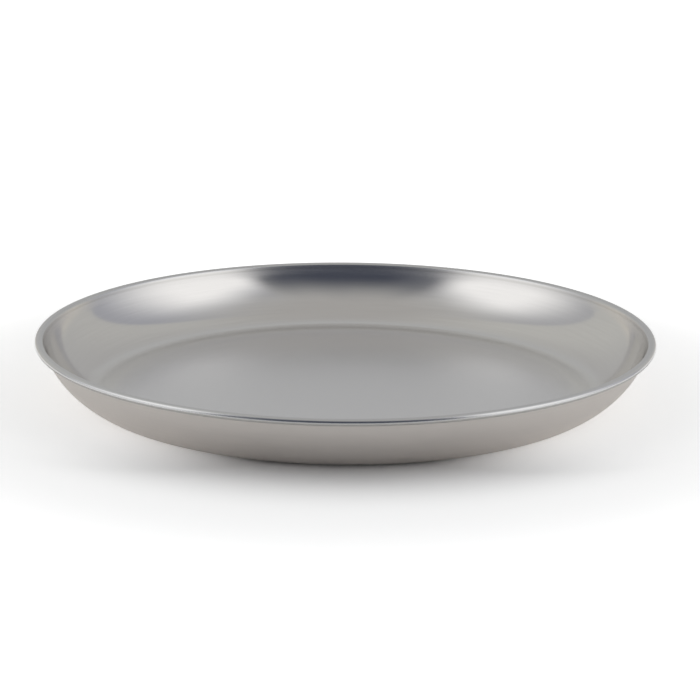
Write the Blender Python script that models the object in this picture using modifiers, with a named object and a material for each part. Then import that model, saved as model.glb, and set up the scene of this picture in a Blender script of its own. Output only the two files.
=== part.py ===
"""A round seafood tray, drawn from one aluminium disc.

The flat floor turns up through a soft corner into a long curved wall. At the top the sheet bends
out into a narrow lip, and its edge is rolled under, so that no cut edge shows.

Metres, +Z up. The origin is the centre of the underside, where the tray stands.
"""

import math
from collections import namedtuple

import bpy
from mathutils import Vector

# Overall size and sheet
RIM_DIAMETER = 0.406
HEIGHT = 0.0393
SHEET = 0.001

# Wall, on the face that holds the food
WALL_RUN = 0.0367
CORNER_RADIUS = 0.020
WALL_TOP_SLOPE = math.radians(74)

# Rim, on its upper and outer face
LIP_BEND_RADIUS = 0.002
LIP_FLAT = 0.0015
ROLL_RADIUS = 0.002
ROLL_TURN = math.radians(230)
SIDEWAYS = math.radians(90)

# Facets of the turned solid
TURN_STEPS = 96
CHORD_ERROR = 0.00006
SAME_POINT = 1e-7

# Satin aluminium
ALUMINIUM_COLOUR = (0.60, 0.59, 0.57, 1.0)
ALUMINIUM_ROUGHNESS = 0.3

# A bend of the sheet, in the plane of the radius and the height. The radius belongs to the upper
# face, and is negative where that face is hollow. Angles are those of the upper face's normal,
# from straight up, positive where it leans away from the axis.
Bend = namedtuple("Bend", "centre radius start end")


def clear_scene():
    for item in list(bpy.data.objects):
        bpy.data.objects.remove(item, do_unlink=True)


def leaning(angle):
    """The unit normal that leans by this angle from straight up."""
    return Vector((math.sin(angle), math.cos(angle)))


def rim_bends():
    """The bend from the wall out to the lip, and the edge rolled under it. The roll is in two
    stretches that meet where the rim is widest, so a facet's corner lies on the full diameter."""
    roll_centre = Vector((RIM_DIAMETER / 2 - ROLL_RADIUS, HEIGHT - ROLL_RADIUS))
    bend_centre = Vector((roll_centre.x - LIP_FLAT, HEIGHT - LIP_BEND_RADIUS))
    return [
        Bend(bend_centre, LIP_BEND_RADIUS, -WALL_TOP_SLOPE, 0.0),
        Bend(roll_centre, ROLL_RADIUS, 0.0, SIDEWAYS),
        Bend(roll_centre, ROLL_RADIUS, SIDEWAYS, ROLL_TURN),
    ]


def wall_bends(wall_top):
    """The corner and the sweep of the wall, which are tangent to the floor, to each other and to
    the wall's slope at its top."""
    rise = wall_top.y - SHEET - CORNER_RADIUS
    across = WALL_RUN * math.sin(WALL_TOP_SLOPE) - rise * math.cos(WALL_TOP_SLOPE)
    reach = WALL_RUN**2 + rise**2 - CORNER_RADIUS**2
    sweep_radius = reach / (2 * (across - CORNER_RADIUS))

    corner_centre = Vector((wall_top.x - WALL_RUN, SHEET + CORNER_RADIUS))
    sweep_centre = wall_top + sweep_radius * leaning(-WALL_TOP_SLOPE)
    to_corner = corner_centre - sweep_centre
    corner_slope = math.atan2(to_corner.x, -to_corner.y)
    return [
        Bend(corner_centre, -CORNER_RADIUS, 0.0, -corner_slope),
        Bend(sweep_centre, -sweep_radius, -corner_slope, -WALL_TOP_SLOPE),
    ]


def sheet_bends():
    """Every bend of the sheet, from the edge of the floor to the rolled edge."""
    rim = rim_bends()
    to_lip = rim[0]
    wall_top = to_lip.centre + to_lip.radius * leaning(to_lip.start)
    return [*wall_bends(wall_top), *rim]


def bend_angles(bend):
    facet = 2 * math.acos(1 - CHORD_ERROR / abs(bend.radius))
    count = math.ceil(abs(bend.end - bend.start) / facet)
    return [bend.start + (bend.end - bend.start) * i / count for i in range(count + 1)]


def face_points(bends, depth):
    """One face of the sheet, from the edge of the floor to the rolled edge, at a depth below the
    upper face."""
    points = []
    for bend in bends:
        for angle in bend_angles(bend):
            point = bend.centre + (bend.radius - depth) * leaning(angle)
            if not points or (point - points[-1]).length > SAME_POINT:
                points.append(point)
    return points


def sheet_profile():
    """Half of the tray's section: out along the upper face, round the cut edge inside the roll,
    and back along the underside to the axis."""
    bends = sheet_bends()
    upper = [Vector((0.0, SHEET)), *face_points(bends, 0.0)]
    under = [Vector((0.0, 0.0)), *face_points(bends, SHEET)]
    return upper + under[::-1]


def turned(name, profile, material, collection):
    """A closed solid turned about Z from a profile that starts and ends on the axis."""
    mesh = bpy.data.meshes.new(name)
    edges = [(i, i + 1) for i in range(len(profile) - 1)]
    mesh.from_pydata([(point.x, 0.0, point.y) for point in profile], edges, [])
    mesh.materials.append(material)
    solid = bpy.data.objects.new(name, mesh)
    collection.objects.link(solid)

    turn = solid.modifiers.new("Turn about the axis", "SCREW")
    turn.axis = "Z"
    turn.angle = math.tau
    turn.steps = TURN_STEPS
    turn.render_steps = TURN_STEPS
    turn.use_merge_vertices = True
    turn.merge_threshold = 1e-5
    turn.use_smooth_shade = True

    # Large flat faces keep their own shading beside the small facets of the bends.
    shading = solid.modifiers.new("Shading by face area", "WEIGHTED_NORMAL")
    shading.keep_sharp = True
    return solid


def satin_aluminium():
    material = bpy.data.materials.new("satin_aluminium")
    material.use_nodes = True
    shader = material.node_tree.nodes["Principled BSDF"]
    shader.inputs["Base Color"].default_value = ALUMINIUM_COLOUR
    shader.inputs["Metallic"].default_value = 1.0
    shader.inputs["Roughness"].default_value = ALUMINIUM_ROUGHNESS
    return material


def main():
    clear_scene()
    collection = bpy.data.collections.new("seafood_tray")
    bpy.context.scene.collection.children.link(collection)
    turned("tray", sheet_profile(), satin_aluminium(), collection)


main()
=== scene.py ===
"""A round seafood tray of spun aluminium, and the plain studio that it stands in.

The tray is one sheet. Its section is a chain of tangent bends, and the tree of geometry nodes turns
that section about the tray's axis. Metres, +Z up, with the origin under the middle of the floor.
"""

import math
from collections import namedtuple

import bmesh
import bpy
from bpy.props import FloatProperty, FloatVectorProperty, IntProperty, PointerProperty
from mathutils import Matrix, Vector


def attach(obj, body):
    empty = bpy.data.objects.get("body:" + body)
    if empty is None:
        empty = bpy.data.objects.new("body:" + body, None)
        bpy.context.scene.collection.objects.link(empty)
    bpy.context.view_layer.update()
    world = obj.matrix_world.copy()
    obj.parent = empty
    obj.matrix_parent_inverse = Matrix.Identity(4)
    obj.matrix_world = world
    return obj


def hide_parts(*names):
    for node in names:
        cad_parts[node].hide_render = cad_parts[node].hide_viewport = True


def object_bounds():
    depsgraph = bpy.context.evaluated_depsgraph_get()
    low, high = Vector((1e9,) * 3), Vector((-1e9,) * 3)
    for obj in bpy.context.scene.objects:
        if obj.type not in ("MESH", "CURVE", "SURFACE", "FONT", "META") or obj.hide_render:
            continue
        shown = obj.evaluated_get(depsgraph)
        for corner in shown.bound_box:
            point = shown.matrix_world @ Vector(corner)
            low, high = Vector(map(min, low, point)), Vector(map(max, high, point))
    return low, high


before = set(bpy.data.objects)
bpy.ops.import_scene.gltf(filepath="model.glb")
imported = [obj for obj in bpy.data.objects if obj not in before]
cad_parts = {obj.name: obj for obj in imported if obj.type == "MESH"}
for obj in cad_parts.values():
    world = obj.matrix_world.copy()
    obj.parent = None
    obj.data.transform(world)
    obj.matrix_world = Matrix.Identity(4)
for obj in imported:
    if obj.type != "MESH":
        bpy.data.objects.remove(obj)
CAD_LOW, CAD_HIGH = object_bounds()

bl_info = {
    "name": "Seafood Tray",
    "version": (1, 0, 0),
    "blender": (4, 5, 0),
    "location": "3D View > Sidebar > Seafood Tray",
    "description": "Makes a spun aluminium seafood tray and a plain studio for it",
    "category": "Object",
}

MM = 0.001
IMAGE_SIDE = 700
SENSOR_WIDTH = 36.0
SAME_POINT = 1e-6

# The table. A reach is a pair of distances from the tray's axis, and the glow changes between them.
# SHADE_SPREAD does the same for the share of that distance that is to the left or right. The white
# glow is what the camera sees, left out close to the tray except at the sides, which paints a shadow
# over the real one. The FILL values set the weaker glow in the metal: painted light, brightest at the
# sides.
TABLE_SIDE = 12.0
TABLE_ROUGHNESS = 0.8
WHITE_REACH = (0.25, 0.50)
SHADE_REACH = (0.16, 0.26)
SHADE_SPREAD = (0.25, 0.85)
FILL_REACH = (0.45, 0.26)
FILL_UNDER_SIDE = 0.16
FILL_FRONT = 0.14
FILL_SIDE = 0.15
FILL_FAR_SIDE = 0.5
# The passes of a spray gun lie about 40 mm apart, and leave the panel faintly uneven.
SPRAY_PASS = 40 * MM
SPRAY_DETAIL = 3.0
SPRAY_SHADE = 0.985

# The light tent. Angles are in degrees, as seen from the middle of the tray, and each pair of them
# is where a soft edge of the light starts and ends.
TENT_RADIUS = 1.6
TENT_STEPS = 4
LIGHT_TURN = 2.4
SIDE_SPAN = (5, 45)
OVERHEAD_SPAN = (54, 80)
LOW_SPAN = (10, 2)
SOFTBOX_TOP = (69.5, 43.5)
SOFTBOX_SLOPE_SPAN = (100, 140)
SOFTBOX_SLOPE = 10
SOFTBOX_TAPER_SPAN = (20, 3)
SOFTBOX_HEM = 1.5
SOFTBOX_HEM_TOP = (78, 42)
SOFTBOX_SKIRT = (165, 138)
UNLIT_FRONT = (118, 148)
UNLIT_TOP = (82, 39)
UNLIT_DIP_SPAN = (174, 148)
# The light isn't quite the same on both sides: here the first of each pair is for the left.
SIDE_SHARE = (1.0, 0.7)
HEM_SHARE = (0.65, 1.0)
SKIRT_SHARE = (0.7, 0.2)
SOFTBOX_BACK_START = (57.5, 50)
SOFTBOX_BACK_END = (96, 99)
SOFTBOX_FRONT_START = (142, 139.5)
SOFTBOX_FRONT_END = (122, 125.5)
SOFTBOX_TAPER = (9, 4)
SOFTBOX_FOOT_START = (-8, -12)
SOFTBOX_FOOT_END = (27, 20)
UNLIT_DIP = (2.5, 4)

# Where the middle of the rim is in the image, in pixels to the right of its middle and above it.
RIM_OFFSET = (-4.4, 17.8)

# A bend of the sheet, in the plane of the radius (x) and the height (y). The radius belongs to the
# upper face, and is negative where that face is hollow. Angles are those of the upper face's
# normal, from straight up, positive where it leans away from the axis. Rings is how many rings of
# points the bend takes.
Bend = namedtuple("Bend", "name centre radius start end rings")
BEND_NAMES = ("Corner", "Wall", "Lip Bend", "Roll Top", "Roll Under")
BEND_PARTS = ("Centre", "Radius", "Start", "End")
BEND_RINGS = (10, 44, 12, 12, 20)
FLOOR_RINGS = 12
RIM_UNDER_RINGS = 1
HALF_A_ROW = 0.5
FINISH_NAMES = ("Inside", "Rim", "Outside")

# How rough each finish is. The brushed floor and the rolled rim blur what they reflect, the burnished
# wall shows the softboxes clearly, and the satin outside shows only broad light and dark.
BRUSHED = 0.23
BURNISHED = 0.10
ROLLED = 0.24
SATIN = 0.50
# Where one finish runs into the next, out along the radius from the edge of the flat floor.
BRUSHED_END = -14 * MM
CORNER_START = -6 * MM
CORNER_END = 3.5 * MM
BURNISHED_START = 13 * MM
# The same at the top of the wall: inwards from it on the inside, and outwards on the outside.
WALL_TOP_SPAN = 3 * MM
# A painted shade line in the crease where the wall bends out to the lip.
CREASE_SHADE_SPAN = (0.9 * MM, 0.45 * MM)
# A painted shade band on the outside, just under the roll.
UNDER_ROLL_SHADE_SPAN = (-0.4 * MM, 0.1 * MM)

# The rings that the tools leave: the gap between them, their length round the axis in radians, and
# their depth. A brush leaves lines about 0.1 mm apart and a spinning roller about 0.3 mm apart. Both
# are finer than the render shows, so the rings are drawn coarser.
Rings = namedtuple("Rings", "gap length depth")
BRUSHED_RINGS = Rings(0.8 * MM, 0.25, 0.006 * MM)
ROLLED_RINGS = Rings(0.8 * MM, 1.0, 0.002 * MM)
SPUN_RINGS = Rings(0.9 * MM, 0.5, 0.006 * MM)
RING_DETAIL = 4.0
RING_FINENESS = 0.6
# Most of the noise lies in this range, and over it the rings vary the roughness and the colour.
RING_NOISE = (0.3, 0.7)
RING_GLOSS = (0.9, 1.1)
RING_TINT = (0.975, 1.025)


def linear(hex_code):
    """The linear colour of an sRGB value that is written in hex."""
    shares = [int(hex_code[i:i + 2], 16) / 255 for i in (1, 3, 5)]
    return tuple(s / 12.92 if s <= 0.04045 else ((s + 0.055) / 1.055) ** 2.4 for s in shares)


def add(tree, kind, inputs=None, **settings):
    """Adds a node with its settings. An input is a value, a socket, or a node whose first output
    is meant."""
    node = tree.nodes.new(kind)
    for name, value in settings.items():
        setattr(node, name, value)
    for key, value in (inputs or {}).items():
        if isinstance(value, bpy.types.Node):
            value = value.outputs[0]
        if isinstance(value, bpy.types.NodeSocket):
            tree.links.new(value, node.inputs[key])
        else:
            node.inputs[key].default_value = value
    return node


class TraySizes(bpy.types.PropertyGroup):
    """The sizes of the sheet, on the face that holds the food."""

    rim_diameter: FloatProperty(
        name="Rim Diameter", description="Across the widest part of the rolled rim",
        default=CAD_HIGH.x - CAD_LOW.x, min=0.1, unit="LENGTH")
    height: FloatProperty(
        name="Height", description="From the table to the top of the lip",
        default=CAD_HIGH.z - CAD_LOW.z, min=0.01, unit="LENGTH")
    sheet: FloatProperty(
        name="Sheet", description="Thickness of the aluminium sheet",
        default=1.0 * MM, min=0.2 * MM, unit="LENGTH")
    wall_run: FloatProperty(
        name="Wall Run", description="From the edge of the flat floor out to the top of the wall",
        default=36.7 * MM, min=5 * MM, unit="LENGTH")
    corner_radius: FloatProperty(
        name="Corner Radius", description="Bend between the floor and the wall",
        default=20.0 * MM, min=1 * MM, unit="LENGTH")
    wall_top_slope: FloatProperty(
        name="Wall Top Slope", description="How steep the wall is below the lip",
        default=math.radians(74), min=0.5, max=math.pi / 2, subtype="ANGLE")
    lip_bend_radius: FloatProperty(
        name="Lip Bend Radius", description="Bend from the wall out to the lip",
        default=2.0 * MM, min=0.2 * MM, unit="LENGTH")
    lip_flat: FloatProperty(
        name="Lip Flat", description="Flat part of the lip between its two bends",
        default=1.5 * MM, min=0.0, unit="LENGTH")
    roll_radius: FloatProperty(
        name="Roll Radius", description="Outside radius of the edge that is rolled under",
        default=2.0 * MM, min=0.5 * MM, unit="LENGTH")
    roll_turn: FloatProperty(
        name="Roll Turn", description="How far round the edge is rolled",
        default=math.radians(230), min=math.pi / 2, max=math.tau, subtype="ANGLE")
    turn_steps: IntProperty(
        name="Turn Steps", description="Points in each ring about the axis",
        default=320, min=24, max=720)


class TrayFinishes(bpy.types.PropertyGroup):
    """The colours of the aluminium, with painted shade in the crease below the lip and under the
    roll.
    """

    floor_colour: FloatVectorProperty(
        name="Floor", description="Brushed floor of the dish",
        default=linear("#E8E8E9"), min=0.0, max=1.0, subtype="COLOR")
    corner_colour: FloatVectorProperty(
        name="Corner", description="Brushed bend between the floor and the wall",
        default=linear("#EDEDEC"), min=0.0, max=1.0, subtype="COLOR")
    wall_colour: FloatVectorProperty(
        name="Wall", description="Burnished wall of the dish",
        default=linear("#DDDBD9"), min=0.0, max=1.0, subtype="COLOR")
    # Painted shade: a darker line in the crease where the wall bends out to the lip.
    crease_painted_shade: FloatVectorProperty(
        name="Crease", description="Painted shade line where the wall bends out to the lip",
        default=linear("#D3D1CE"), min=0.0, max=1.0, subtype="COLOR")
    rim_colour: FloatVectorProperty(
        name="Rim", description="Lip and rolled edge",
        default=linear("#D8D8D8"), min=0.0, max=1.0, subtype="COLOR")
    outside_colour: FloatVectorProperty(
        name="Outside", description="Outside of the wall and underside",
        default=linear("#E4DFDA"), min=0.0, max=1.0, subtype="COLOR")
    # Painted shade: a darker band on the outside, just under the rolled edge.
    under_roll_painted_shade: FloatVectorProperty(
        name="Under the Roll", description="Painted shade under the rolled edge",
        default=linear("#CBC9C6"), min=0.0, max=1.0, subtype="COLOR")


class StageSettings(bpy.types.PropertyGroup):
    """The table, the lights and the camera."""

    table_colour: FloatVectorProperty(
        name="Table", description="Pale surface that the tray stands on",
        default=linear("#F8F8F7"), min=0.0, max=1.0, subtype="COLOR")
    overhead_colour: FloatVectorProperty(
        name="Overhead", description="Soft light from above",
        default=linear("#B8B7B5"), min=0.0, max=1.0, subtype="COLOR")
    back_colour: FloatVectorProperty(
        name="Back", description="Soft light from behind the tray",
        default=linear("#B7B7B7"), min=0.0, max=1.0, subtype="COLOR")
    side_colour: FloatVectorProperty(
        name="Sides", description="Soft light from between the back and the softboxes",
        default=linear("#C9C9C6"), min=0.0, max=1.0, subtype="COLOR")
    low_colour: FloatVectorProperty(
        name="Low", description="Light from the foot of the tent, close to the table",
        default=linear("#DED7CC"), min=0.0, max=1.0, subtype="COLOR")
    unlit_colour: FloatVectorProperty(
        name="Camera Side", description="Unlit room behind the camera",
        default=linear("#4D515D"), min=0.0, max=1.0, subtype="COLOR")
    softbox_colour: FloatVectorProperty(
        name="Softbox", description="Middle of each softbox",
        default=linear("#FFFFFF"), min=0.0, max=1.0, subtype="COLOR")
    softbox_edge_colour: FloatVectorProperty(
        name="Softbox Edge", description="Dim cloth at the edge of each softbox",
        default=linear("#AEB0B7"), min=0.0, max=1.0, subtype="COLOR")
    softbox_skirt_colour: FloatVectorProperty(
        name="Softbox Skirt", description="Dim cloth at the camera's end of each softbox",
        default=linear("#82848A"), min=0.0, max=1.0, subtype="COLOR")
    softbox_strength: FloatProperty(
        name="Softbox Strength", description="Brightness of the middle of each softbox",
        default=1.16, min=0.0)
    table_glow: FloatProperty(
        name="Table Glow", description="Light that the table adds to its own image, none on the tray",
        default=0.42, min=0.0, max=1.0)
    camera_distance: FloatProperty(
        name="Camera Distance", description="From the camera to the middle of the rim",
        default=1.7255, min=0.5, unit="LENGTH")
    camera_elevation: FloatProperty(
        name="Camera Elevation", description="Height of the camera above the rim, as an angle",
        default=math.radians(14.69), min=0.0, max=1.5, subtype="ANGLE")
    camera_roll: FloatProperty(
        name="Camera Roll", description="Tilt of the camera about its line of sight",
        default=math.radians(0.38), subtype="ANGLE")
    focal_length: FloatProperty(
        name="Focal Length", description="Lens of the camera, in millimetres",
        default=135.05, min=20.0)


def sheet_bends(sizes):
    """Every bend of the sheet, from the edge of the floor to the rolled edge. The wall's radius is
    the one that makes it tangent to the corner and to the slope at its top."""
    def leaning(angle):
        return Vector((math.sin(angle), math.cos(angle)))

    slope = sizes.wall_top_slope
    roll = Vector((sizes.rim_diameter / 2, sizes.height)) - Vector((1, 1)) * sizes.roll_radius
    lip = Vector((roll.x - sizes.lip_flat, sizes.height - sizes.lip_bend_radius))
    wall_top = lip + sizes.lip_bend_radius * leaning(-slope)

    rise = wall_top.y - sizes.sheet - sizes.corner_radius
    across = sizes.wall_run * math.sin(slope) - rise * math.cos(slope)
    reach = sizes.wall_run**2 + rise**2 - sizes.corner_radius**2
    sweep_radius = reach / (2 * (across - sizes.corner_radius))
    corner = Vector((wall_top.x - sizes.wall_run, sizes.sheet + sizes.corner_radius))
    sweep = wall_top + sweep_radius * leaning(-slope)
    corner_slope = math.atan2(corner.x - sweep.x, sweep.y - corner.y)

    quarter = math.pi / 2
    shapes = (
        (corner, -sizes.corner_radius, 0.0, -corner_slope),
        (sweep, -sweep_radius, -corner_slope, -slope),
        (lip, sizes.lip_bend_radius, -slope, 0.0),
        (roll, sizes.roll_radius, 0.0, quarter),
        (roll, sizes.roll_radius, quarter, sizes.roll_turn),
    )
    return [Bend(name, *shape, rings) for name, shape, rings in zip(BEND_NAMES, shapes, BEND_RINGS)]


def bend_tree():
    """A group that places a point on a bend: a share of the way round it, at a depth in the sheet."""
    tree = bpy.data.node_groups.new("Point on a Bend", "GeometryNodeTree")
    for name in (*BEND_PARTS, "Share", "Depth"):
        kind = "NodeSocketVector" if name == "Centre" else "NodeSocketFloat"
        tree.interface.new_socket(name, in_out="INPUT", socket_type=kind)
    tree.interface.new_socket("Point", in_out="OUTPUT", socket_type="NodeSocketVector")

    given = add(tree, "NodeGroupInput").outputs
    angle = add(tree, "ShaderNodeMapRange", {
        "Value": given["Share"], "To Min": given["Start"], "To Max": given["End"]})
    sine = add(tree, "ShaderNodeMath", {0: angle}, operation="SINE")
    cosine = add(tree, "ShaderNodeMath", {0: angle}, operation="COSINE")
    normal = add(tree, "ShaderNodeCombineXYZ", {"X": sine, "Z": cosine})
    reach = add(tree, "ShaderNodeMath", {0: given["Radius"], 1: given["Depth"]},
                operation="SUBTRACT")
    arm = add(tree, "ShaderNodeVectorMath", {0: normal, "Scale": reach}, operation="SCALE")
    point = add(tree, "ShaderNodeVectorMath", {0: given["Centre"], 1: arm}, operation="ADD")
    add(tree, "NodeGroupOutput", {"Point": point})
    return tree


def tray_tree(bend_group):
    """The tree that turns the sheet's section about the axis. A grid has one row of points for each
    ring: out along the upper face, and back along the underside."""
    tree = bpy.data.node_groups.new("Turned Sheet", "GeometryNodeTree")
    face_rings = FLOOR_RINGS + sum(BEND_RINGS)
    sockets = [("Sheet", "Float"), ("Turn Steps", "Int")]
    for name in BEND_NAMES:
        sockets += [(f"{name} {part}", "Vector" if part == "Centre" else "Float")
                    for part in BEND_PARTS]
    sockets += [(f"{name} Material", "Material") for name in FINISH_NAMES]
    for name, kind in sockets:
        tree.interface.new_socket(name, in_out="INPUT", socket_type=f"NodeSocket{kind}")
    tree.interface.new_socket("Tray", in_out="OUTPUT", socket_type="NodeSocketGeometry")
    given = add(tree, "NodeGroupInput").outputs

    row_points = add(tree, "ShaderNodeMath", {0: given["Turn Steps"], 1: 1.0}, operation="ADD")
    grid = add(tree, "GeometryNodeMeshGrid", {
        "Vertices X": 2 * face_rings, "Vertices Y": row_points})
    index = add(tree, "GeometryNodeInputIndex")
    row = add(tree, "ShaderNodeMath", {
        0: add(tree, "ShaderNodeMath", {0: index, 1: row_points}, operation="DIVIDE")},
        operation="FLOOR")
    step = add(tree, "ShaderNodeMath", {0: index, 1: row_points}, operation="MODULO")
    turn = add(tree, "ShaderNodeMath", {
        0: add(tree, "ShaderNodeMath", {0: step, 1: given["Turn Steps"]}, operation="DIVIDE"),
        1: math.tau}, operation="MULTIPLY")

    # Rows past the middle are the underside, and count back to the axis.
    under = add(tree, "ShaderNodeMath", {0: row, 1: face_rings - HALF_A_ROW},
                operation="GREATER_THAN")
    row_back = add(tree, "ShaderNodeMath", {0: 2 * face_rings - 1, 1: row}, operation="SUBTRACT")
    ring = add(tree, "ShaderNodeMath", {0: row, 1: row_back}, operation="MINIMUM")
    depth = add(tree, "ShaderNodeMath", {0: under, 1: given["Sheet"]}, operation="MULTIPLY")

    # The floor runs straight from the axis to the start of the corner, below the centre of its bend.
    share = add(tree, "ShaderNodeMapRange", {"Value": ring, "From Max": FLOOR_RINGS - 1})
    edge = add(tree, "ShaderNodeSeparateXYZ", {0: given["Corner Centre"]})
    floor_x = add(tree, "ShaderNodeMath", {0: share, 1: edge.outputs["X"]}, operation="MULTIPLY")
    floor_z = add(tree, "ShaderNodeMath", {0: given["Sheet"], 1: depth}, operation="SUBTRACT")
    point = add(tree, "ShaderNodeCombineXYZ", {"X": floor_x, "Z": floor_z})
    first = FLOOR_RINGS
    for name, rings in zip(BEND_NAMES, BEND_RINGS):
        share = add(tree, "ShaderNodeMapRange", {
            "Value": ring, "From Min": first, "From Max": first + rings - 1})
        bend = add(tree, "GeometryNodeGroup", {
            "Share": share, "Depth": depth,
            **{part: given[f"{name} {part}"] for part in BEND_PARTS}}, node_tree=bend_group)
        reached = add(tree, "ShaderNodeMath", {0: ring, 1: first - HALF_A_ROW},
                      operation="GREATER_THAN")
        point = add(tree, "GeometryNodeSwitch", {0: reached, 1: point, 2: bend},
                    input_type="VECTOR")
        first += rings
    turned = add(tree, "ShaderNodeVectorRotate", {"Vector": point, "Angle": turn},
                 rotation_type="Z_AXIS")
    made = add(tree, "GeometryNodeSetPosition", {"Geometry": grid, "Position": turned})
    made = add(tree, "GeometryNodeStoreNamedAttribute", {
        "Geometry": made, "Name": "row", "Value": row}, data_type="FLOAT", domain="POINT")
    made = add(tree, "GeometryNodeMergeByDistance", {"Geometry": made, "Distance": SAME_POINT})
    made = add(tree, "GeometryNodeSetShadeSmooth", {"Geometry": made})
    made = add(tree, "GeometryNodeRealizeInstances", {"Geometry": made})

    # Each finish is laid over the one outside it.
    limits = {
        "Outside": 2 * face_rings,
        "Rim": face_rings - BEND_RINGS[-1] + RIM_UNDER_RINGS,
        "Inside": FLOOR_RINGS + sum(BEND_RINGS[:2]),
    }
    row = add(tree, "GeometryNodeInputNamedAttribute", {"Name": "row"}, data_type="FLOAT")
    for name, limit in limits.items():
        within = add(tree, "ShaderNodeMath", {0: row, 1: limit - HALF_A_ROW}, operation="LESS_THAN")
        made = add(tree, "GeometryNodeSetMaterial", {
            "Geometry": made, "Selection": within, "Material": given[f"{name} Material"]})
    add(tree, "NodeGroupOutput", {"Tray": made})
    return tree


# What the aluminium is like at a distance from the axis.
Band = namedtuple("Band", "radius colour roughness")


def spun_aluminium(name, bands, rings):
    """Bare aluminium that a roller has spun or a pad has brushed in circles. The tool leaves fine
    rings about the axis, which streak the reflections and vary the gloss. Each band runs softly
    into the next one out."""
    material = bpy.data.materials.new(name)
    material.use_nodes = True
    tree = material.node_tree
    shader = tree.nodes["Principled BSDF"]

    place = add(tree, "ShaderNodeTexCoord").outputs["Object"]
    level = add(tree, "ShaderNodeVectorMath", {0: place, 1: (1, 1, 0)}, operation="MULTIPLY")
    radius = add(tree, "ShaderNodeVectorMath", {0: level}, operation="LENGTH").outputs["Value"]
    height = add(tree, "ShaderNodeSeparateXYZ", {0: place}).outputs["Z"]
    along = add(tree, "ShaderNodeMath", {0: radius, 1: height}, operation="ADD")
    ring = add(tree, "ShaderNodeMath", {0: along, 1: rings.gap}, operation="DIVIDE")
    around = add(tree, "ShaderNodeVectorMath", {0: level}, operation="NORMALIZE")
    arc = add(tree, "ShaderNodeVectorMath", {0: around, "Scale": 1 / rings.length},
              operation="SCALE")
    across = add(tree, "ShaderNodeCombineXYZ", {"Z": ring})
    grain = add(tree, "ShaderNodeVectorMath", {0: arc, 1: across}, operation="ADD")
    lines = add(tree, "ShaderNodeTexNoise", {
        "Vector": grain, "Scale": 1.0, "Detail": RING_DETAIL, "Roughness": RING_FINENESS})

    colour, roughness = bands[0].colour, bands[0].roughness
    for inner, outer in zip(bands, bands[1:]):
        share = add(tree, "ShaderNodeMapRange", {
            "Value": radius, "From Min": inner.radius, "From Max": outer.radius},
            interpolation_type="SMOOTHSTEP")
        colour = add(tree, "ShaderNodeMix", {0: share, 4: colour, 5: outer.colour},
                     data_type="VECTOR").outputs[1]
        roughness = add(tree, "ShaderNodeMix", {0: share, 2: roughness, 3: outer.roughness})
    uneven, tint = (
        add(tree, "ShaderNodeMapRange", {
            "Value": lines, "From Min": RING_NOISE[0], "From Max": RING_NOISE[1],
            "To Min": low, "To Max": high})
        for low, high in (RING_GLOSS, RING_TINT))
    gloss = add(tree, "ShaderNodeMath", {0: roughness, 1: uneven}, operation="MULTIPLY")
    tinted = add(tree, "ShaderNodeVectorMath", {0: colour, "Scale": tint}, operation="SCALE")
    bump = add(tree, "ShaderNodeBump", {"Height": lines, "Strength": 1.0, "Distance": rings.depth})

    tree.links.new(tinted.outputs[0], shader.inputs["Base Color"])
    tree.links.new(gloss.outputs[0], shader.inputs["Roughness"])
    tree.links.new(bump.outputs[0], shader.inputs["Normal"])
    shader.inputs["Metallic"].default_value = 1.0
    return material


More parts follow.
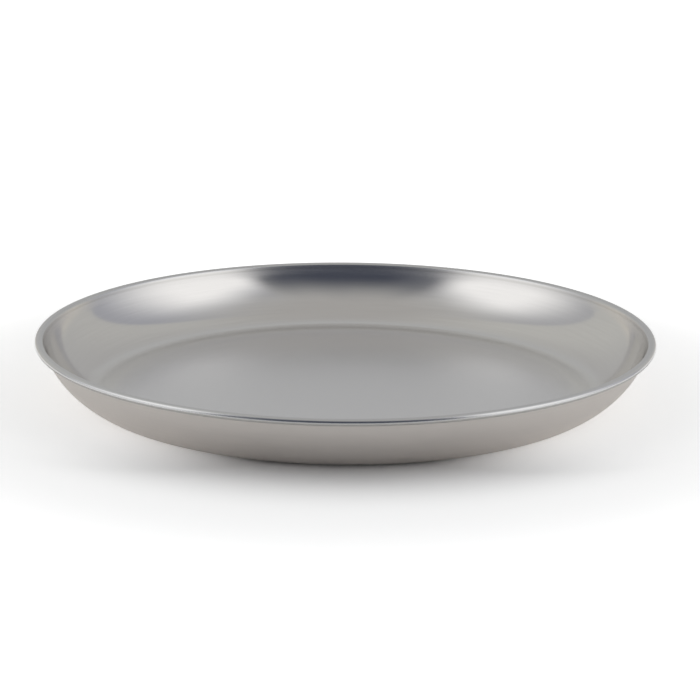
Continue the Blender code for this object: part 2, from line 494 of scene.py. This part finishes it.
class SEAFOODTRAY_OT_make_tray(bpy.types.Operator):
    """Makes the tray from its sizes and gives each face its finish"""

    bl_idname = "seafood_tray.make_tray"
    bl_label = "Make Tray"

    def execute(self, context):
        sizes = context.scene.seafood_tray_sizes
        finishes = context.scene.seafood_tray_finishes
        values = {"Sheet": sizes.sheet, "Turn Steps": sizes.turn_steps}
        for bend in sheet_bends(sizes):
            values[f"{bend.name} Centre"] = (bend.centre.x, 0.0, bend.centre.y)
            values[f"{bend.name} Radius"] = bend.radius
            values[f"{bend.name} Start"] = bend.start
            values[f"{bend.name} End"] = bend.end
        floor_edge = values["Corner Centre"][0]
        wall_top = floor_edge + sizes.wall_run

        # Aluminium brushed flat on the floor and burnished up the wall: a soft grey floor in a bowl
        # of clear streaked reflections, with a painted shade line where the wall bends out to the
        # lip.
        values["Inside Material"] = spun_aluminium("brushed_and_burnished_aluminium", (
            Band(floor_edge + BRUSHED_END, finishes.floor_colour, BRUSHED),
            Band(floor_edge + CORNER_START, finishes.corner_colour, BRUSHED),
            Band(floor_edge + CORNER_END, finishes.corner_colour, BRUSHED),
            Band(floor_edge + BURNISHED_START, finishes.wall_colour, BURNISHED),
            Band(wall_top - WALL_TOP_SPAN, finishes.wall_colour, BURNISHED),
            # These two bands paint shade into the crease below the lip.
            Band(wall_top - CREASE_SHADE_SPAN[0], finishes.wall_colour, ROLLED),
            Band(wall_top - CREASE_SHADE_SPAN[1], finishes.crease_painted_shade, ROLLED),
            Band(wall_top, finishes.wall_colour, ROLLED)), BRUSHED_RINGS)
        # Aluminium rolled over a die: smooth, so that the rim carries one thin even highlight.
        values["Rim Material"] = spun_aluminium("rolled_edge_aluminium", (
            Band(wall_top, finishes.rim_colour, ROLLED),), ROLLED_RINGS)
        # Aluminium as the spinning lathe leaves it: satin, with no clear reflection, and with a
        # painted shade band just under the roll.
        values["Outside Material"] = spun_aluminium("satin_spun_aluminium", (
            Band(wall_top + UNDER_ROLL_SHADE_SPAN[0], finishes.outside_colour, SATIN),
            Band(wall_top + UNDER_ROLL_SHADE_SPAN[1], finishes.under_roll_painted_shade, SATIN)), SPUN_RINGS)

        tray = bpy.data.objects.new("seafood_tray", bpy.data.meshes.new("tray_seed"))
        context.scene.collection.objects.link(tray)
        turning = tray.modifiers.new("Turned Sheet", "NODES")
        turning.node_group = tray_tree(bend_tree())
        for socket in turning.node_group.interface.items_tree:
            if socket.in_out == "INPUT":
                turning[socket.identifier] = values[socket.name]
        seen = tray.evaluated_get(context.evaluated_depsgraph_get())
        made = bpy.data.meshes.new_from_object(seen)
        made.name = "seafood_tray"
        tray.modifiers.clear()
        tray.data = made
        if len(made.polygons) < sizes.turn_steps:
            raise RuntimeError("the tray's tree made no faces")

        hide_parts("tray")
        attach(tray, "root")
        return {"FINISHED"}


def pale_table(colour, glow):
    """A matt sprayed panel: pale, even, with the faint mottle of the spray and no shine. Its glow
    shows to the camera and whitens the table, but is left out close to the tray except at the sides,
    which paints a shadow there over the real one. More weakly it shows in the metal, as painted light
    that is brighter at the sides. It is no light for anything else."""
    material = bpy.data.materials.new("matt_sprayed_panel")
    material.use_nodes = True
    tree = material.node_tree
    shader = tree.nodes["Principled BSDF"]
    place = add(tree, "ShaderNodeTexCoord").outputs["Object"]
    mottle = add(tree, "ShaderNodeTexNoise", {
        "Vector": place, "Scale": 1 / SPRAY_PASS, "Detail": SPRAY_DETAIL})
    shade = add(tree, "ShaderNodeMapRange", {"Value": mottle, "To Min": SPRAY_SHADE, "To Max": 1.0})
    tinted = add(tree, "ShaderNodeVectorMath", {0: colour, "Scale": shade}, operation="SCALE")
    tree.links.new(tinted.outputs[0], shader.inputs["Base Color"])
    shader.inputs["Roughness"].default_value = TABLE_ROUGHNESS

    # Painted light and shade: the glow is kept where the table is clear of a painted shadow of the
    # tray, out from the axis, and nearer in at the sides, which are painted as lit.
    level = add(tree, "ShaderNodeVectorMath", {0: place, 1: (1, 1, 0)}, operation="MULTIPLY")
    radius = add(tree, "ShaderNodeVectorMath", {0: level}, operation="LENGTH").outputs["Value"]
    aside = add(tree, "ShaderNodeMath", {
        0: add(tree, "ShaderNodeSeparateXYZ", {0: place}).outputs["X"]}, operation="ABSOLUTE")
    aside = add(tree, "ShaderNodeMath", {0: aside, 1: radius}, operation="DIVIDE")
    painted_side_light = add(tree, "ShaderNodeMapRange", {
        "Value": aside, "From Min": SHADE_SPREAD[0], "From Max": SHADE_SPREAD[1]},
        interpolation_type="SMOOTHSTEP")
    clear = add(tree, "ShaderNodeMapRange", {
        "Value": radius, "From Min": SHADE_REACH[0], "From Max": SHADE_REACH[1]},
        interpolation_type="SMOOTHSTEP")
    outside_painted_shadow = add(tree, "ShaderNodeMath", {0: painted_side_light, 1: clear}, operation="MAXIMUM")

    white = add(tree, "ShaderNodeMapRange", {
        "Value": radius, "From Min": WHITE_REACH[0], "From Max": WHITE_REACH[1],
        "To Min": glow, "To Max": 1.0}, interpolation_type="SMOOTHSTEP")
    white = add(tree, "ShaderNodeMath", {0: white, 1: outside_painted_shadow}, operation="MULTIPLY")
    # The weaker glow in the metal is painted light: under the tray it shows only at the sides, beside
    # it a little all round, and far out only at the sides.
    under_tray = add(tree, "ShaderNodeMath", {0: FILL_UNDER_SIDE, 1: painted_side_light}, operation="MULTIPLY")
    beside_tray = add(tree, "ShaderNodeMapRange", {
        "Value": painted_side_light, "To Min": FILL_FRONT, "To Max": FILL_SIDE})
    far_off = add(tree, "ShaderNodeMath", {0: FILL_FAR_SIDE, 1: painted_side_light}, operation="MULTIPLY")
    painted_fill_light = add(tree, "ShaderNodeMapRange", {
        "Value": clear, "To Min": under_tray, "To Max": beside_tray})
    painted_fill_light = add(tree, "ShaderNodeMapRange", {
        "Value": radius, "From Min": FILL_REACH[0], "From Max": FILL_REACH[1],
        "To Min": far_off, "To Max": painted_fill_light}, interpolation_type="SMOOTHSTEP")

    # The camera sees the white glow with its painted shadow, and the metal sees the painted light.
    path = add(tree, "ShaderNodeLightPath").outputs
    shown = add(tree, "ShaderNodeMath", {
        0: path["Is Camera Ray"], 1: path["Is Transmission Ray"]}, operation="MAXIMUM")
    shown = add(tree, "ShaderNodeMath", {0: shown, 1: white}, operation="MULTIPLY")
    glowing = add(tree, "ShaderNodeMath", {
        0: painted_fill_light, 1: path["Is Glossy Ray"], 2: shown}, operation="MULTIPLY_ADD")
    tree.links.new(glowing.outputs[0], shader.inputs["Emission Strength"])
    return material


def lit_tent(stage):
    """The cloth of a light tent. Soft even light comes from above and behind, and a large softbox
    stands low at each side, edged with dimmer cloth. The camera's side is unlit. Azimuth counts both
    ways from straight behind the tray, so an angle means the same on the left and the right."""
    material = bpy.data.materials.new("lit_tent_cloth")
    material.use_nodes = True
    tree = material.node_tree
    tree.nodes.remove(tree.nodes["Principled BSDF"])
    place = add(tree, "ShaderNodeTexCoord").outputs["Object"]
    ray = add(tree, "ShaderNodeVectorMath", {0: place}, operation="NORMALIZE")
    turned = add(tree, "ShaderNodeVectorRotate", {
        "Vector": ray, "Angle": math.radians(LIGHT_TURN)}, rotation_type="Z_AXIS")
    parts = add(tree, "ShaderNodeSeparateXYZ", {0: turned}).outputs
    aside = add(tree, "ShaderNodeMath", {0: parts["X"]}, operation="ABSOLUTE")
    azimuth = add(tree, "ShaderNodeMath", {
        0: add(tree, "ShaderNodeMath", {0: aside, 1: parts["Y"]}, operation="ARCTAN2")},
        operation="DEGREES")
    elevation = add(tree, "ShaderNodeMath", {
        0: add(tree, "ShaderNodeMath", {0: parts["Z"]}, operation="ARCSINE")}, operation="DEGREES")
    to_right = add(tree, "ShaderNodeMath", {0: parts["X"], 1: 0.0}, operation="GREATER_THAN")
    (side_share, hem_share, skirt_share, box_start, box_end, front_start, front_end, box_taper,
     foot_start, foot_end, unlit_dip) = (
        add(tree, "ShaderNodeMapRange", {"Value": to_right, "To Min": left, "To Max": right})
        for left, right in (
            SIDE_SHARE, HEM_SHARE, SKIRT_SHARE, SOFTBOX_BACK_START, SOFTBOX_BACK_END,
            SOFTBOX_FRONT_START, SOFTBOX_FRONT_END, SOFTBOX_TAPER, SOFTBOX_FOOT_START,
            SOFTBOX_FOOT_END, UNLIT_DIP))

    # Each softbox narrows towards its foot, and its top slopes down towards the camera. The upper
    # edge of the unlit part dips towards its ends.
    taper = add(tree, "ShaderNodeMapRange", {
        "Value": elevation, "From Min": SOFTBOX_TAPER_SPAN[0], "From Max": SOFTBOX_TAPER_SPAN[1],
        "To Max": box_taper}, interpolation_type="SMOOTHSTEP")
    box_start = add(tree, "ShaderNodeMath", {0: box_start, 1: taper}, operation="ADD")
    hem_start = add(tree, "ShaderNodeMath", {0: box_start, 1: SOFTBOX_HEM}, operation="SUBTRACT")
    slope = add(tree, "ShaderNodeMapRange", {
        "Value": azimuth, "From Min": SOFTBOX_SLOPE_SPAN[0], "From Max": SOFTBOX_SLOPE_SPAN[1],
        "To Max": SOFTBOX_SLOPE}, interpolation_type="SMOOTHSTEP")
    sloping = add(tree, "ShaderNodeMath", {0: elevation, 1: slope}, operation="ADD")
    dip = add(tree, "ShaderNodeMapRange", {
        "Value": azimuth, "From Min": UNLIT_DIP_SPAN[0], "From Max": UNLIT_DIP_SPAN[1],
        "To Max": unlit_dip}, interpolation_type="SMOOTHSTEP")
    dipping = add(tree, "ShaderNodeMath", {0: elevation, 1: dip}, operation="ADD")

    # A share is 0 before a soft edge and 1 past it, and a layer covers where all its shares are 1.
    shares = {"side share": side_share, "hem share": hem_share, "skirt share": skirt_share}
    for name, (angle, start, end) in {
            "side": (azimuth, *SIDE_SPAN),
            "high": (elevation, *OVERHEAD_SPAN),
            "low": (elevation, *LOW_SPAN),
            "box back": (azimuth, box_start, box_end),
            "box front": (azimuth, front_start, front_end),
            "box top": (sloping, *SOFTBOX_TOP),
            "box foot": (elevation, foot_start, foot_end),
            "hem back": (azimuth, hem_start, box_start),
            "hem top": (elevation, *SOFTBOX_HEM_TOP),
            "skirt": (azimuth, *SOFTBOX_SKIRT),
            "unlit front": (azimuth, *UNLIT_FRONT),
            "unlit top": (dipping, *UNLIT_TOP)}.items():
        shares[name] = add(tree, "ShaderNodeMapRange", {
            "Value": angle, "From Min": start, "From Max": end}, interpolation_type="SMOOTHSTEP")
    layers = {}
    for layer, names in {
            "side": ("side", "side share"),
            "low": ("low", "side"),
            "unlit": ("unlit front", "unlit top"),
            "skirt": ("skirt", "skirt share", "unlit front", "unlit top"),
            "hem": ("hem share", "hem back", "hem top", "box front"),
            "box": ("box back", "box front", "box top", "box foot")}.items():
        layers[layer] = shares[names[0]]
        for name in names[1:]:
            layers[layer] = add(tree, "ShaderNodeMath", {0: layers[layer], 1: shares[name]},
                                operation="MULTIPLY")

    # The layers lie one over another, with the softboxes on top.
    hot = [part * stage.softbox_strength for part in stage.softbox_colour]
    colour = stage.back_colour
    for share, over in (
            (layers["side"], stage.side_colour), (shares["high"], stage.overhead_colour),
            (layers["low"], stage.low_colour), (layers["unlit"], stage.unlit_colour),
            (layers["skirt"], stage.softbox_skirt_colour),
            (layers["hem"], stage.softbox_edge_colour), (layers["box"], hot)):
        under = colour if isinstance(colour, bpy.types.NodeSocket) else (*colour, 1.0)
        colour = add(tree, "ShaderNodeMix", {0: share, 6: under, 7: (*over, 1.0)},
                     data_type="RGBA").outputs[2]
    glow = add(tree, "ShaderNodeEmission", {"Color": colour})
    tree.links.new(glow.outputs[0], tree.nodes["Material Output"].inputs["Surface"])
    return material


def white_world():
    """White to the camera and in reflections, and no light from outside the tent."""
    world = bpy.data.worlds.new("white_room")
    world.use_nodes = True
    tree = world.node_tree
    path = add(tree, "ShaderNodeLightPath").outputs
    mirrored = add(tree, "ShaderNodeMath", {
        0: path["Is Glossy Ray"], 1: path["Is Transmission Ray"]}, operation="MAXIMUM")
    seen = add(tree, "ShaderNodeMath", {0: path["Is Camera Ray"], 1: mirrored}, operation="MAXIMUM")
    background = tree.nodes["Background"].inputs
    background["Color"].default_value = (1.0, 1.0, 1.0, 1.0)
    tree.links.new(seen.outputs[0], background["Strength"])
    return world


class SEAFOODTRAY_OT_make_stage(bpy.types.Operator):
    """Makes the table, the lights and the camera"""

    bl_idname = "seafood_tray.make_stage"
    bl_label = "Make Stage"

    def execute(self, context):
        scene = context.scene
        stage = scene.seafood_tray_stage
        scene.view_settings.view_transform = "Standard"

        half = TABLE_SIDE / 2
        mesh = bpy.data.meshes.new("table")
        mesh.from_pydata([(-half, -half, 0), (half, -half, 0), (half, half, 0), (-half, half, 0)],
                         [], [(0, 1, 2, 3)])
        mesh.materials.append(pale_table(stage.table_colour, stage.table_glow))
        table = bpy.data.objects.new("table", mesh)
        scene.collection.objects.link(table)

        # The camera looks in through the tent, so the tent shows only in reflections.
        shape = bmesh.new()
        bmesh.ops.create_icosphere(shape, subdivisions=TENT_STEPS, radius=TENT_RADIUS)
        mesh = bpy.data.meshes.new("light_tent")
        shape.to_mesh(mesh)
        shape.free()
        mesh.materials.append(lit_tent(stage))
        tent = bpy.data.objects.new("light_tent", mesh)
        tent.visible_camera = False
        scene.collection.objects.link(tent)
        scene.world = white_world()

        # The camera faces the middle of the rim, and is then turned by the few pixels that put
        # the tray where it stands in the frame.
        lens = bpy.data.cameras.new("camera")
        lens.sensor_width = SENSOR_WIDTH
        lens.lens = stage.focal_length
        pixel_lens = stage.focal_length / SENSOR_WIDTH * IMAGE_SIDE
        yaw, pitch = (math.atan(offset / pixel_lens) for offset in RIM_OFFSET)
        facing = Matrix.Rotation(math.pi / 2 - stage.camera_elevation, 4, "X")
        rolled = facing @ Matrix.Rotation(stage.camera_roll, 4, "Z")
        aimed = rolled @ Matrix.Rotation(yaw, 4, "Y") @ Matrix.Rotation(-pitch, 4, "X")
        rim_centre = Vector((0, 0, CAD_HIGH.z))
        back = facing @ Vector((0, 0, stage.camera_distance))
        camera = bpy.data.objects.new("camera", lens)
        camera.matrix_world = Matrix.Translation(rim_centre + back) @ aimed
        scene.collection.objects.link(camera)
        scene.camera = camera
        return {"FINISHED"}


class SEAFOODTRAY_PT_sidebar(bpy.types.Panel):
    bl_label = "Seafood Tray"
    bl_space_type = "VIEW_3D"
    bl_region_type = "UI"
    bl_category = "Seafood Tray"

    def draw(self, context):
        layout = self.layout
        for group, operator in (
                (context.scene.seafood_tray_sizes, None),
                (context.scene.seafood_tray_finishes, SEAFOODTRAY_OT_make_tray),
                (context.scene.seafood_tray_stage, SEAFOODTRAY_OT_make_stage)):
            column = layout.column(align=True)
            for name in group.__annotations__:
                column.prop(group, name)
            if operator:
                layout.operator(operator.bl_idname)


CLASSES = (TraySizes, TrayFinishes, StageSettings, SEAFOODTRAY_OT_make_tray,
           SEAFOODTRAY_OT_make_stage, SEAFOODTRAY_PT_sidebar)


def register():
    for item in CLASSES:
        bpy.utils.register_class(item)
    bpy.types.Scene.seafood_tray_sizes = PointerProperty(type=TraySizes)
    bpy.types.Scene.seafood_tray_finishes = PointerProperty(type=TrayFinishes)
    bpy.types.Scene.seafood_tray_stage = PointerProperty(type=StageSettings)


def unregister():
    del bpy.types.Scene.seafood_tray_stage
    del bpy.types.Scene.seafood_tray_finishes
    del bpy.types.Scene.seafood_tray_sizes
    for item in reversed(CLASSES):
        bpy.utils.unregister_class(item)


def main():
    register()
    bpy.ops.seafood_tray.make_tray()
    bpy.ops.seafood_tray.make_stage()


if __name__ == "__main__":
    main()
